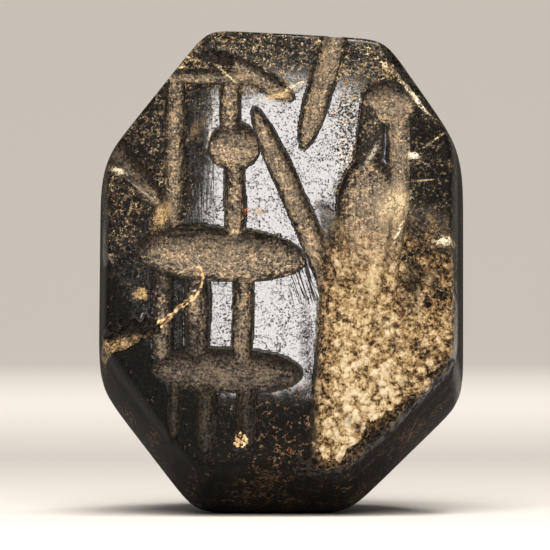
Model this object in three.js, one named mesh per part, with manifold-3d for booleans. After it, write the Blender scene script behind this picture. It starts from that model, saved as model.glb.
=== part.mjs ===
// A stamp seal of dark mottled stone, lying on its lower side with the engraved face to the front.
//
// The stone is one solid: an irregular eight-sided body that swells a little behind its domed
// face, then tapers to a rounded back, with a cord hole drilled across it. The face carries a
// wheel-cut and drilled scene: an altar with its symbols on the left, and a robed figure with one
// arm raised on the right.
//
// Millimetres. The body is worked out in the seal's own axes: u to the right across the face,
// v up the face, and w out of the face, with zero at the crown of the face. At the end it is
// turned so that +Z is up and the face looks towards -Y.
import * as THREE from "three";
import { mergeVertices, toCreasedNormals } from "three/addons/utils/BufferGeometryUtils.js";
import Module from "manifold-3d";

const wasm = await Module();
wasm.setup();

// The face
const FACE_WIDTH = 14.7;
const FACE_HEIGHT = 19.1;
const FACE_CROWN_RADIUS = 32; // how round the dome of the face is
const TOP_EDGE_FALL = 0.42; // the top edge runs down to the right by this much
const CORNER_ROUNDING = 0.7; // worn corners of the eight-sided outline
const CORNER_FACETS = {
  // how far each slanting side cuts in across the face, and along its upright edge
  bottomLeft: { across: 3.8, along: 5.05 },
  bottomRight: { across: 4.55, along: 4.6 },
  topRight: { across: 3.0, along: 4.9 },
  topLeft: { across: 4.25, along: 5.65 },
};

// The body, with each depth counted back from the crown of the face
const LENGTH = 25.5;
const GIRTH_DEPTH = 6.5; // where the body is widest
const SIDE_SWELL = 0.66; // how far the sides swell out past the face
const LOWER_SIDE_TAPER = THREE.MathUtils.degToRad(16);
const TAPER_EASE = 3; // length over which the swell turns into the straight taper
const SHOULDER_DEPTH = 18; // where the straight sides turn into the rounded back
const BACK_FULLNESS = 2.9; // 2 is an ellipse, and more is blunter
const BACK_OVAL_SHARE = 0.98; // the oval that the back turns into, against the outline's box

// The cord hole, drilled from both sides to meet in the middle
const HOLE_DEPTH = 17;
const HOLE_MOUTH_RADIUS = 1.6;
const HOLE_WAIST_RADIUS = 1.25;

// How finely the skin is divided
const CORNER_STEPS = 3;
const FACE_RINGS = 7;
const SWELL_RINGS = 5;
const TAPER_RINGS = 3;
const BACK_RINGS = 6;

// The engraving. A place is a share of the face's half width and half height, so [0, 0] is the
// middle and [1, 1] the top right of its box. Widths and depths are millimetres. A tip is
// "ball" where a round drill stopped, or the share of the stroke over which the wheel ran out.
const STROKES = {
  leftPost: { from: [-0.625, 0.79], to: [-0.625, 0.05], width: 0.9, depth: 0.48, tips: ["ball", 0.2] },
  topBar: { from: [-0.68, 0.8], to: [-0.125, 0.79], width: 0.74, depth: 0.34, tips: ["ball", 0.2] },
  topSlant: { from: [-0.32, 0.885], to: [0.075, 0.67], width: 0.85, depth: 0.28, tips: [0.35, 0.3] },
  sideRay: { from: [-1.01, 0.48], to: [-0.7, 0.155], width: 1.0, depth: 0.5, tips: ["ball", 0.35] },
  rodAbove: { from: [-0.3, 0.79], to: [-0.295, 0.515], width: 0.87, depth: 0.42, tips: ["ball", "ball"] },
  rodBelow: { from: [-0.265, 0.37], to: [-0.26, -0.02], width: 0.87, depth: 0.42, tips: ["ball", "ball"] },
  altarTable: { from: [-0.84, -0.05], to: [0.16, -0.115], width: 2.45, depth: 0.64, tips: [0.4, 0.5] },
  altarLegLeft: { from: [-0.69, -0.155], to: [-0.69, -0.565], width: 0.78, depth: 0.3, tips: ["ball", "ball"] },
  altarLegMiddle: { from: [-0.485, -0.155], to: [-0.48, -0.565], width: 1.05, depth: 0.34, tips: ["ball", "ball"] },
  altarLegRight: { from: [-0.205, -0.155], to: [-0.22, -0.595], width: 0.87, depth: 0.42, tips: ["ball", "ball"] },
  altarBase: { from: [-0.75, -0.6], to: [0.135, -0.64], width: 1.85, depth: 0.52, tips: [0.4, 0.4] },
  footLeft: { from: [-0.615, -0.635], to: [-0.615, -0.905], width: 0.6, depth: 0.32, tips: ["ball", 0.4] },
  footMiddle: { from: [-0.43, -0.675], to: [-0.425, -0.965], width: 0.87, depth: 0.4, tips: ["ball", 0.3] },
  footRight: { from: [-0.19, -0.655], to: [-0.185, -0.955], width: 0.8, depth: 0.4, tips: ["ball", 0.3] },
  raisedArm: { from: [-0.16, 0.63], to: [0.33, -0.255], width: 0.98, depth: 0.48, tips: [0.4, "ball"] },
  upperRay: { from: [0.335, 1.025], to: [0.14, 0.42], width: 1.1, depth: 0.46, tips: [0.1, 0.45] },
  neck: { from: [0.57, 0.7], to: [0.52, 0.33], width: 1.2, depth: 0.4, tips: ["ball", "ball"] },
  backHair: { from: [0.7, 0.645], to: [0.71, 0.105], width: 0.92, depth: 0.44, tips: ["ball", 0.15] },
  shoulder: { from: [0.535, 0.39], to: [0.515, -0.245], width: 2.75, depth: 0.66, tips: [0.42, 0.42] },
  sash: { from: [0.72, 0.205], to: [0.625, -0.285], width: 0.9, depth: 0.66, tips: [0.3, 0.3] },
};

// The robe is a row of long pleats, side by side from its front edge to its back
const PLEAT_COUNT = 5;
const PLEAT_WIDTH = 1.4;
const PLEAT_DEPTH = 0.5;
const PLEAT_TIP = 0.1;
const ROBE_TOP = -0.175;
const ROBE_HEM = { front: -1.02, back: -0.72 };
const ROBE_FRONT = { top: 0.352, hem: 0.268 };
const ROBE_BACK = { top: 0.71, hem: 0.82 };

// Round pits left by a ball drill, each a place and a diameter and depth in millimetres
const DRILLED = {
  symbolDisc: { at: [-0.28, 0.445], width: 2.25, depth: 0.6 },
  head: { at: [0.665, 0.675], width: 2.3, depth: 0.55 },
  crystalPit: { at: [-0.225, -0.925], width: 0.8, depth: 0.3 },
};

// Breaks at the rim, the deep notch on the left side first
const BREAKS = {
  sideNotch: { from: [-1.13, -0.47], to: [-0.68, -0.395], width: 1.15, depth: 0.95, tips: [0.3, 0.7] },
  topLeftFlake: { from: [-0.49, 0.905], to: [-0.26, 0.89], width: 1.0, depth: 0.3, tips: [0.5, 0.5] },
  rightUpperFlake: { from: [0.7, 0.87], to: [0.91, 0.62], width: 0.6, depth: 0.35, tips: [0.4, 0.4] },
  lowerEdgeBreak: { from: [0.34, -1.09], to: [0.91, -0.685], width: 1.3, depth: 0.55, tips: [0.35, 0.3] },
  lowerEdgeCrevice: { from: [0.505, -0.86], to: [0.76, -0.82], width: 0.5, depth: 0.6, tips: [0.5, 0.4] },
  sideEdgeBreak: { from: [0.84, -0.78], to: [1.04, -0.52], width: 0.75, depth: 0.45, tips: [0.4, 0.4] },
  bottomEdgeBreak: { from: [0.08, -1.025], to: [0.37, -1.045], width: 0.7, depth: 0.5, tips: [0.5, 0.5] },
};

const SPINDLE_STEPS = 14; // divisions along a stroke's cutter
const SPINDLE_SIDES = 12;
const PIT_SIDES = 24;
const SLIVER = 0.008; // edges shorter than this are tidied away after cutting
const CREASE = THREE.MathUtils.degToRad(30);

const halfWidth = FACE_WIDTH / 2;
const halfHeight = FACE_HEIGHT / 2;

// How far the domed face has fallen back from its crown at a place on it.
const fall = (u, v) => (u * u + v * v) / (2 * FACE_CROWN_RADIUS);

// The section's size at a depth, as a share of the face's outline.
function spread(depth) {
  const swell = SIDE_SWELL / halfWidth;
  if (depth < GIRTH_DEPTH) return 1 + swell * (1 - (1 - depth / GIRTH_DEPTH) ** 2);
  const run = depth - GIRTH_DEPTH;
  const eased = run < TAPER_EASE ? run ** 2 / (2 * TAPER_EASE) : run - TAPER_EASE / 2;
  return 1 + swell - (Math.tan(LOWER_SIDE_TAPER) * eased) / halfHeight;
}

// The eight-sided outline of the face with its corners worn round, as points [u, v].
function faceOutline() {
  const { bottomLeft, bottomRight, topRight, topLeft } = CORNER_FACETS;
  const corners = [
    [-halfWidth + bottomLeft.across, -halfHeight],
    [halfWidth - bottomRight.across, -halfHeight],
    [halfWidth, -halfHeight + bottomRight.along],
    [halfWidth, halfHeight - topRight.along],
    [halfWidth - topRight.across, halfHeight - TOP_EDGE_FALL],
    [-halfWidth + topLeft.across, halfHeight],
    [-halfWidth, halfHeight - topLeft.along],
    [-halfWidth, -halfHeight + bottomLeft.along],
  ].map(([u, v]) => new THREE.Vector2(u, v));
  return corners.flatMap((corner, i) => {
    const before = corners.at(i - 1);
    const after = corners[(i + 1) % corners.length];
    const towards = (other) =>
      corner.clone().add(other.clone().sub(corner).setLength(CORNER_ROUNDING));
    return new THREE.QuadraticBezierCurve(towards(before), corner, towards(after)).getPoints(CORNER_STEPS);
  });
}

// The same outline turned into an oval by a share from 0 to 1, for the rounded back.
function ovalled(point, share) {
  const angle = Math.atan2(point.y / halfHeight, point.x / halfWidth);
  const oval = new THREE.Vector2(halfWidth * Math.cos(angle), halfHeight * Math.sin(angle));
  return point.clone().lerp(oval.multiplyScalar(BACK_OVAL_SHARE), share);
}

// The skin of the whole body as rings of points, from the crown of the face to the end of the back.
function bodyRings() {
  const outline = faceOutline();
  const rim = outline.map((point) => {
    let depth = 0;
    for (let pass = 0; pass < 6; pass++) {
      const at = point.clone().multiplyScalar(spread(depth));
      depth = fall(at.x, at.y);
    }
    return point.clone().multiplyScalar(spread(depth));
  });
  const rings = [];
  for (let ring = 1; ring <= FACE_RINGS; ring++) {
    const share = ring / FACE_RINGS;
    rings.push(rim.map((p) => new THREE.Vector3(p.x * share, p.y * share, -fall(p.x * share, p.y * share))));
  }
  for (let ring = 1; ring <= SWELL_RINGS; ring++) {
    const share = ring / SWELL_RINGS;
    rings.push(
      outline.map((p, i) => {
        const depth = THREE.MathUtils.lerp(fall(rim[i].x, rim[i].y), GIRTH_DEPTH, share);
        return new THREE.Vector3(p.x * spread(depth), p.y * spread(depth), -depth);
      }),
    );
  }
  const straight = [GIRTH_DEPTH + TAPER_EASE / 3, GIRTH_DEPTH + (2 * TAPER_EASE) / 3];
  for (let ring = 0; ring <= TAPER_RINGS; ring++) {
    straight.push(THREE.MathUtils.lerp(GIRTH_DEPTH + TAPER_EASE, SHOULDER_DEPTH, ring / TAPER_RINGS));
  }
  for (const depth of straight) {
    rings.push(outline.map((p) => new THREE.Vector3(p.x * spread(depth), p.y * spread(depth), -depth)));
  }
  for (let ring = 1; ring < BACK_RINGS; ring++) {
    // equal turns bring the rings closer together towards the end
    const share = Math.sin((ring / BACK_RINGS) * (Math.PI / 2));
    const depth = THREE.MathUtils.lerp(SHOULDER_DEPTH, LENGTH, share);
    const size = spread(depth) * Math.sqrt(1 - share ** BACK_FULLNESS);
    rings.push(
      outline.map((p) => {
        const at = ovalled(p, THREE.MathUtils.smoothstep(share, 0, 1)).multiplyScalar(size);
        return new THREE.Vector3(at.x, at.y, -depth);
      }),
    );
  }
  return rings;
}

// Rings of points and a point at each end, as a closed geometry that faces out.
function skinned(rings, first, last) {
  const count = rings[0].length;
  const index = [];
  const at = (ring, i) => 1 + ring * count + (i % count);
  const lastIndex = 1 + rings.length * count;
  for (let i = 0; i < count; i++) {
    index.push(0, at(0, i), at(0, i + 1));
    for (let ring = 0; ring + 1 < rings.length; ring++) {
      index.push(at(ring, i), at(ring + 1, i), at(ring + 1, i + 1));
      index.push(at(ring, i), at(ring + 1, i + 1), at(ring, i + 1));
    }
    index.push(at(rings.length - 1, i), lastIndex, at(rings.length - 1, i + 1));
  }
  return new THREE.BufferGeometry().setFromPoints([first, ...rings.flat(), last]).setIndex(index);
}

// A closed geometry as a solid that can be cut.
function solid(geometry) {
  geometry.deleteAttribute("normal");
  geometry.deleteAttribute("uv");
  const merged = mergeVertices(geometry);
  return new wasm.Manifold(
    new wasm.Mesh({
      numProp: 3,
      vertProperties: merged.attributes.position.array,
      triVerts: new Uint32Array(merged.index.array),
    }),
  );
}

// Lays a cutter on the dome: each of its points falls back as far as the face does there.
function laidOnFace(geometry) {
  const position = geometry.attributes.position;
  for (let i = 0; i < position.count; i++) {
    position.setZ(i, position.getZ(i) - fall(position.getX(i), position.getY(i)));
  }
  return geometry;
}

const onFace = ([across, up]) => new THREE.Vector2(across * halfWidth, up * halfHeight);

// A stroke's cutter: a spindle along the stroke, squashed to the stroke's depth. A wheel makes the
// long thin tips and a ball drill the round ones.
function strokeCutter({ from, to, width, depth, tips }) {
  const start = onFace(from);
  const run = onFace(to).sub(start);
  const length = run.length();
  const ends = tips.map((tip) => (tip === "ball" ? Math.min(width / 2, length / 2) : tip * length));
  const profile = [new THREE.Vector2(0, 0)];
  const along = (share) => share * length;
  for (let step = 1; step < SPINDLE_STEPS; step++) {
    // the cosine puts more of the steps near the tips, where the spindle curves most
    const place = along((1 - Math.cos((step / SPINDLE_STEPS) * Math.PI)) / 2);
    const closing = [place / ends[0], (length - place) / ends[1]];
    const full = closing.map((x) => Math.sqrt(1 - (1 - Math.min(x, 1)) ** 2));
    profile.push(new THREE.Vector2((width / 2) * full[0] * full[1], place));
  }
  profile.push(new THREE.Vector2(0, length));
  const spindle = new THREE.LatheGeometry(profile, SPINDLE_SIDES);
  spindle.scale(1, 1, depth / (width / 2));
  spindle.rotateZ(run.angle() - Math.PI / 2);
  spindle.translate(start.x, start.y, 0);
  return solid(laidOnFace(spindle));
}

// The round pit of a ball drill, flatter than the ball itself.
function pitCutter({ at, width, depth }) {
  const place = onFace(at);
  const ball = new THREE.SphereGeometry(width / 2, PIT_SIDES, PIT_SIDES / 2);
  ball.rotateX(Math.PI / 2);
  ball.scale(1, 1, depth / (width / 2));
  ball.translate(place.x, place.y, 0);
  return solid(laidOnFace(ball));
}

// The pleats of the robe, which spread out a little towards the hem.
function robePleats() {
  const between = (a, b, share) => THREE.MathUtils.lerp(a, b, share);
  return Array.from({ length: PLEAT_COUNT }, (_, pleat) => {
    const share = pleat / (PLEAT_COUNT - 1);
    return {
      from: [between(ROBE_FRONT.top, ROBE_BACK.top, share), ROBE_TOP],
      to: [between(ROBE_FRONT.hem, ROBE_BACK.hem, share), between(ROBE_HEM.front, ROBE_HEM.back, share)],
      width: PLEAT_WIDTH,
      depth: PLEAT_DEPTH,
      tips: [PLEAT_TIP, PLEAT_TIP],
    };
  });
}

// The cord hole's cutter, widest where the drill went in on each side.
function holeCutter() {
  const reach = FACE_WIDTH;
  const sideAt = halfWidth * spread(HOLE_DEPTH);
  const profile = [
    [0, -reach],
    [HOLE_MOUTH_RADIUS, -reach],
    [HOLE_MOUTH_RADIUS, -sideAt],
    [HOLE_WAIST_RADIUS, 0],
    [HOLE_MOUTH_RADIUS, sideAt],
    [HOLE_MOUTH_RADIUS, reach],
    [0, reach],
  ].map(([radius, place]) => new THREE.Vector2(radius, place));
  const drill = new THREE.LatheGeometry(profile, PIT_SIDES);
  drill.rotateZ(-Math.PI / 2);
  drill.translate(0, 0, -HOLE_DEPTH);
  return solid(drill);
}

// The finished stone: the body less the cord hole, the engraving and the breaks.
function sealGeometry() {
  const body = solid(skinned(bodyRings(), new THREE.Vector3(0, 0, 0), new THREE.Vector3(0, 0, -LENGTH)));
  const strokes = [...Object.values(STROKES), ...robePleats(), ...Object.values(BREAKS)];
  const cutters = [holeCutter(), ...strokes.map(strokeCutter), ...Object.values(DRILLED).map(pitCutter)];
  const carved = cutters.reduce((stone, cutter) => stone.subtract(cutter), body).simplify(SLIVER);
  const { vertProperties, triVerts } = carved.getMesh();
  const geometry = new THREE.BufferGeometry();
  geometry.setAttribute("position", new THREE.BufferAttribute(vertProperties, 3));
  geometry.setIndex(new THREE.BufferAttribute(triVerts, 1));
  return toCreasedNormals(geometry, CREASE);
}

const stone = new THREE.MeshStandardMaterial({ color: 0x2b2723, roughness: 0.35, metalness: 0 });
const sealStone = new THREE.Mesh(sealGeometry(), stone);
sealStone.name = "seal_stone";

// Turned to lie on its lower side: the straight part of that side is level, and the face, which
// is square to the body's length, leans back by the same taper.
sealStone.rotation.x = Math.PI / 2 - LOWER_SIDE_TAPER;

const seal = new THREE.Group();
seal.add(sealStone);

// The origin is on the floor, under the middle of the seal's box
const box = new THREE.Box3().setFromObject(seal, true);
const middle = box.getCenter(new THREE.Vector3());
sealStone.position.set(-middle.x, -middle.y, -box.min.z);

export default seal;
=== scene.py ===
# %% [markdown]
# # An engraved stone stamp seal
#
# This lesson dresses one small stone seal: an eight-sided black and tan stone that lies on its
# side, with its engraved face to the front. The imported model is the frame, and everything here
# is made around it, in metres.

# %% The frame
import math

import bmesh
import bpy
import numpy as np
from mathutils import Matrix, Vector


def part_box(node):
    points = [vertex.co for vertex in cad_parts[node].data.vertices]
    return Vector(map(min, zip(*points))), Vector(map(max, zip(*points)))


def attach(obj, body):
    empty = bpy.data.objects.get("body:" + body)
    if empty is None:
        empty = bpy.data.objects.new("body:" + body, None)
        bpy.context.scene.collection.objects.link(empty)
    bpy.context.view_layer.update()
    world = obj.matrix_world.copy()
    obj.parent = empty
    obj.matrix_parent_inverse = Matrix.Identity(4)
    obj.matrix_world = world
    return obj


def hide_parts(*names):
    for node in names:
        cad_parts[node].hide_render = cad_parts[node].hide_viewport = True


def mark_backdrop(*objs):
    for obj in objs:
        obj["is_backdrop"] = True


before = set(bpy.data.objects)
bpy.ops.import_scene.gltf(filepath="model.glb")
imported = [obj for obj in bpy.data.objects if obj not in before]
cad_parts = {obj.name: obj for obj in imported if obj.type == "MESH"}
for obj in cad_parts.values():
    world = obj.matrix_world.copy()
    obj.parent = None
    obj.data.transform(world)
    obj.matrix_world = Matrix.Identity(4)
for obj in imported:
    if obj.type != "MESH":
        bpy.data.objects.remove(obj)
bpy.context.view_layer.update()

MM = 0.001
stone_low, stone_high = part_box("seal_stone")
print("nodes", sorted(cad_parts), "stone from", tuple(stone_low), "to", tuple(stone_high))

# %% [markdown]
# ## Nodes written as sums
#
# Both the carving and the stone's finish are worked out with nodes. Placing nodes one by one is
# long to read, so a small class wraps a socket and lets it be added, multiplied and compared
# like a number, and a bench adds any other node from its type, its settings and its sockets.


# %% A wire and a bench of nodes
class Wire:
    """An output socket that can be used in a sum."""

    def __init__(self, bench, socket):
        self.bench, self.socket = bench, socket

    def math(self, operation, *others):
        return self.bench.node("ShaderNodeMath", {"operation": operation}, [self, *others])

    def __add__(self, other):
        return self.math("ADD", other)

    __radd__ = __add__

    def __sub__(self, other):
        return self.math("SUBTRACT", other)

    def __rsub__(self, other):
        return self.bench.node("ShaderNodeMath", {"operation": "SUBTRACT"}, [other, self])

    def __mul__(self, other):
        return self.math("MULTIPLY", other)

    __rmul__ = __mul__

    def __truediv__(self, other):
        return self.math("DIVIDE", other)

    def __neg__(self):
        return self.math("MULTIPLY", -1.0)

    def __pow__(self, other):
        return self.math("POWER", other)

    def root(self):
        return self.math("MAXIMUM", 0.0).math("SQRT")

    def clip(self):
        """Kept between 0 and 1."""
        return self.bench.node("ShaderNodeClamp", {}, [self])

    def step(self, low, high):
        """A smooth step from 0 at low to 1 at high. High may be the smaller."""
        return self.bench.node(
            "ShaderNodeMapRange", {"interpolation_type": "SMOOTHSTEP"},
            {"Value": self, "From Min": low, "From Max": high})


class Bench:
    """Adds nodes to one tree."""

    def __init__(self, tree):
        self.tree = tree

    def pick(self, sockets, key):
        if isinstance(key, int):
            return sockets[key]
        named = [s for s in sockets if key in (s.identifier, s.name) and s.enabled]
        return named[0]

    def node(self, kind, settings=None, sockets=None, out=0):
        made = self.tree.nodes.new(kind)
        for name, value in (settings or {}).items():
            if name == "stops":
                ramp = made.color_ramp
                while len(ramp.elements) < len(value):
                    ramp.elements.new(0.5)
                for element, (place, colour) in zip(ramp.elements, value):
                    element.position, element.color = place, colour
            else:
                setattr(made, name, value)
        pairs = enumerate(sockets) if isinstance(sockets, list) else (sockets or {}).items()
        for key, value in pairs:
            socket = self.pick(made.inputs, key)
            if isinstance(value, Wire):
                self.tree.links.new(value.socket, socket)
            else:
                socket.default_value = value
        if out is None:
            return made
        return Wire(self, self.pick(made.outputs, out))

    def split(self, vector):
        parts = self.node("ShaderNodeSeparateXYZ", {}, [vector], out=None)
        return [Wire(self, parts.outputs[i]) for i in range(3)]

    def join(self, x, y, z):
        return self.node("ShaderNodeCombineXYZ", {}, [x, y, z])

    def vector(self, operation, a, b, out=0):
        return self.node("ShaderNodeVectorMath", {"operation": operation}, [a, b], out)


print("wires and benches ready")

# %% [markdown]
# ## The seal's own axes
#
# A seal cutter thinks of the face: u runs to the right across it, v up it, and w out of it, with
# zero at the crown of its dome. The stone lies on the flat of its lower side, so that frame leans
# back. Sizes are kept in millimetres there, because the seal is only as big as a fingertip.

# %% Sizes of the stone
FACE_WIDTH, FACE_HEIGHT = 14.7, 19.1
CROWN_RADIUS = 32.0
TOP_EDGE_FALL = 0.42
LENGTH, GIRTH_DEPTH, SHOULDER_DEPTH = 25.4, 6.5, 18.0
SIDE_SWELL, TAPER_EASE = 0.66, 3.0
LOWER_SIDE_TAPER = math.radians(16)
BACK_FULLNESS, BACK_OVAL_SHARE = 2.9, 0.98
CORNERS = {"bottom_left": (3.8, 5.05), "bottom_right": (4.55, 4.6),
           "top_right": (3.0, 4.9), "top_left": (4.25, 5.65)}
HALF = np.array([FACE_WIDTH, FACE_HEIGHT]) / 2


def fall(u, v):
    """How far the dome of the face has dropped from its crown."""
    return (u * u + v * v) / (2 * CROWN_RADIUS)


def spread(depth):
    """The size of the section at a depth behind the crown, against the face's outline."""
    depth = np.asarray(depth, float)
    swell = SIDE_SWELL / HALF[0]
    run = depth - GIRTH_DEPTH
    eased = np.where(run < TAPER_EASE, run**2 / (2 * TAPER_EASE), run - TAPER_EASE / 2)
    straight = 1 + swell - math.tan(LOWER_SIDE_TAPER) * eased / HALF[1]
    return np.where(depth < GIRTH_DEPTH, 1 + swell * (1 - (1 - depth / GIRTH_DEPTH) ** 2), straight)


girth = float(spread(GIRTH_DEPTH))
print("face", FACE_WIDTH, "by", FACE_HEIGHT, "mm, girth is", round(girth, 3), "of it")

# %% [markdown]
# ## The eight-sided outline
#
# The outline is eight straight sides. A point on it is found by going out from the middle until
# the first side is met. Taking a power mean of the eight instead of the nearest one wears the
# corners round, which is how handling leaves them.

# %% Sides of the outline
CORNER_HARDNESS = 34


def sides_of_outline():
    """Each side as its outward normal and its distance from the middle."""
    (w, h), c = HALF, CORNERS
    corners = np.array([
        (-w + c["bottom_left"][0], -h), (w - c["bottom_right"][0], -h),
        (w, -h + c["bottom_right"][1]), (w, h - c["top_right"][1]),
        (w - c["top_right"][0], h - TOP_EDGE_FALL), (-w + c["top_left"][0], h),
        (-w, h - c["top_left"][1]), (-w, -h + c["bottom_left"][1])])
    run = np.roll(corners, -1, axis=0) - corners
    normal = np.stack([run[:, 1], -run[:, 0]], 1) / np.linalg.norm(run, axis=1)[:, None]
    return normal, (normal * corners).sum(1)


SIDE_NORMALS, SIDE_REACH = sides_of_outline()


def to_outline(direction):
    """Scales each direction until it reaches the worn outline."""
    toward = np.maximum(direction @ SIDE_NORMALS.T / SIDE_REACH, 0)
    reach = (toward**CORNER_HARDNESS).sum(-1, keepdims=True) ** (1 / CORNER_HARDNESS)
    return direction / np.maximum(reach, 1e-9)


print("sides", len(SIDE_REACH), "nearest", round(float(SIDE_REACH.min()), 2), "mm")

# %% [markdown]
# ## The skin of the stone
#
# The face needs points every few hundredths of a millimetre, because the engraving is cut into
# them, while the plain sides need few. So the face is a square grid pulled out to the outline,
# which has no pinched pole in the middle, and the sides are rings that carry on from its edge.

# %% The face as a grid
GRID = 236
EDGE_ROUND = 0.16  # millimetres of wear along the rim
RIM_ROUNDS = 6  # each round brings the rim nearer to where dome and side meet


def face_grid():
    """Places [u, v] of the face's grid, row by row, and how far in from the rim each is."""
    line = np.linspace(-1, 1, GRID + 1)
    x, y = np.meshgrid(line, line)
    size = np.maximum(np.abs(x), np.abs(y))
    direction = np.stack([x, y], -1) * HALF
    hit = to_outline(direction / np.maximum(size, 1e-9)[..., None])
    inset = (1 - size) * np.linalg.norm(hit, axis=-1)
    return (hit * size[..., None]).reshape(-1, 2), inset.reshape(-1)


def grid_edge():
    """The grid's border points in order, anticlockwise as the face is looked at."""
    n, row = GRID, range(GRID)
    border = list(row) + [j * (n + 1) + n for j in row]
    border += [n * (n + 1) + n - j for j in row] + [(n - j) * (n + 1) for j in row]
    return np.array(border)


def rim_scale(outline):
    """How much the swelling body has widened where each outline point meets the dome."""
    depth = np.zeros(len(outline))
    for _ in range(RIM_ROUNDS):
        at = outline * spread(depth)[:, None]
        depth = fall(at[:, 0], at[:, 1])
    return spread(depth)


def face_points():
    """The face's points [u, v, w], then its border: their numbers, the outline, its widening."""
    place, inset = face_grid()
    border = grid_edge()
    outline = place[border]
    widen = rim_scale(outline)
    turn = np.arctan2(outline[:, 1], outline[:, 0])
    order = np.argsort(turn)
    angle = np.arctan2(place[:, 1], place[:, 0])
    grown = np.interp(angle, turn[order], widen[order], period=2 * math.pi)
    face = place * grown[:, None]
    into = np.clip(1 - inset / EDGE_ROUND, 0, 1)
    worn = EDGE_ROUND * (1 - np.sqrt(1 - into**2))
    return np.column_stack([face, -fall(face[:, 0], face[:, 1]) - worn]), border, outline, widen


face_skin, face_border, rim_outline, rim_widening = face_points()
print("the face has", len(face_skin), "points,", len(face_border), "of them on its border")

# %% [markdown]
# The sides have no detail of their own, so a few dozen rings are enough. They start from the grid's
# border points, and each ring is the same outline at the size of the section there. Over the
# back the eight-sided outline turns into an oval bit by bit, as on a stone ground round by hand.
# The faces are then strung between one ring and the next, with a fan over the middle of the back.

# %% The sides as rings
RINGS_TO_GIRTH, RINGS_TO_SHOULDER, RINGS_OF_BACK = 10, 13, 13


def side_rings(outline, widen):
    """Rings of points from the rim to the girth, on to the shoulder, and over the back."""
    rings = []
    rim_depth = fall(*(outline * widen[:, None]).T) + EDGE_ROUND
    for share in np.linspace(0, 1, RINGS_TO_GIRTH + 1)[1:]:
        depth = rim_depth + (GIRTH_DEPTH - rim_depth) * share
        rings.append(np.column_stack([outline * spread(depth)[:, None], -depth]))
    for depth in np.linspace(GIRTH_DEPTH, SHOULDER_DEPTH, RINGS_TO_SHOULDER + 1)[1:]:
        rings.append(np.column_stack([outline * spread(depth), np.full(len(outline), -depth)]))
    turn = np.arctan2(outline[:, 1] / HALF[1], outline[:, 0] / HALF[0])
    oval = np.column_stack([np.cos(turn), np.sin(turn)]) * HALF * BACK_OVAL_SHARE
    for share in np.sin(np.linspace(0, math.pi / 2, RINGS_OF_BACK + 2)[1:-1]):
        depth = SHOULDER_DEPTH + (LENGTH - SHOULDER_DEPTH) * share
        size = spread(depth) * math.sqrt(1 - share**BACK_FULLNESS)
        rounding = share * share * (3 - 2 * share)
        ring = (outline * (1 - rounding) + oval * rounding) * size
        rings.append(np.column_stack([ring, np.full(len(ring), -depth)]))
    return rings


def skin():
    """The whole body as points [u, v, w] in millimetres, and its faces."""
    rings = side_rings(rim_outline, rim_widening)
    back_middle = np.array([[0.0, 0.0, -LENGTH]])
    n = GRID
    corner = (np.arange(n)[:, None] * (n + 1) + np.arange(n)[None, :]).reshape(-1)
    faces = np.column_stack([corner, corner + 1, corner + n + 2, corner + n + 1]).tolist()
    count, first = len(face_border), (n + 1) ** 2
    ring_at = [face_border] + [first + r * count + np.arange(count) for r in range(len(rings))]
    for upper, lower in zip(ring_at, ring_at[1:]):
        faces += np.column_stack([upper, lower, np.roll(lower, -1), np.roll(upper, -1)]).tolist()
    pole = first + len(rings) * count
    faces += [[int(a), pole, int(b)] for a, b in zip(ring_at[-1], np.roll(ring_at[-1], -1))]
    return np.concatenate([face_skin, *rings, back_middle]), faces


skin_points, skin_faces = skin()
print("skin has", len(skin_points), "points and", len(skin_faces), "faces")

# %% [markdown]
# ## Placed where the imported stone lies
#
# The face leans back by the taper of the lower side, so that this side is level. The skin could
# be turned by eye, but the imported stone's box says where it has to be. The turn is about the
# left-to-right axis, the slide puts one box on the other, and both boxes are printed to compare.

# %% Turning and sliding into place
LEAN = math.pi / 2 - LOWER_SIDE_TAPER
turned = skin_points @ np.array(Matrix.Rotation(LEAN, 3, "X").transposed())
low, high = turned.min(0), turned.max(0)
CROWN_BEHIND_FRONT = 1.264  # the lower edge of the face is in front of its crown
middle_across = (stone_low.x + stone_high.x) / 2
crown = np.array([middle_across / MM, stone_low.y / MM + CROWN_BEHIND_FRONT, 0.0])
crown[2] = stone_low.z / MM - low[2]
print("crown of the face at", crown.round(3), "mm")
print("skin from", (low + crown).round(3), "to", (high + crown).round(3))
print("packed stone from", (np.array(stone_low) / MM).round(3), "to", (np.array(stone_high) / MM).round(3))


def new_mesh(name, points, faces):
    mesh = bpy.data.meshes.new(name)
    mesh.from_pydata([tuple(p) for p in points], [], faces)
    mesh.update()
    body = bpy.data.objects.new(name, mesh)
    bpy.context.scene.collection.objects.link(body)
    return body


seal = new_mesh("seal_body", skin_points * MM, skin_faces)
seal.data.polygons.foreach_set("use_smooth", [True] * len(seal.data.polygons))

# %% [markdown]
# ## The cord hole
#
# The hole was drilled from both sides, so it is narrower in the middle, where the two drillings
# met. A turned cutter of that profile is taken away from the skin. The hole could be modelled into
# the rings, but a Boolean is shorter, and a drilling is exactly that. Two helpers are needed: one
# turns a mesh's faces outwards, and one makes a piece's modifiers real, because the pieces are
# handed in as plain meshes.

# %% Drilling
HOLE_DEPTH, HOLE_MOUTH, HOLE_WAIST = 17.0, 1.6, 1.25
HOLE_SIDES = 72


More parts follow.
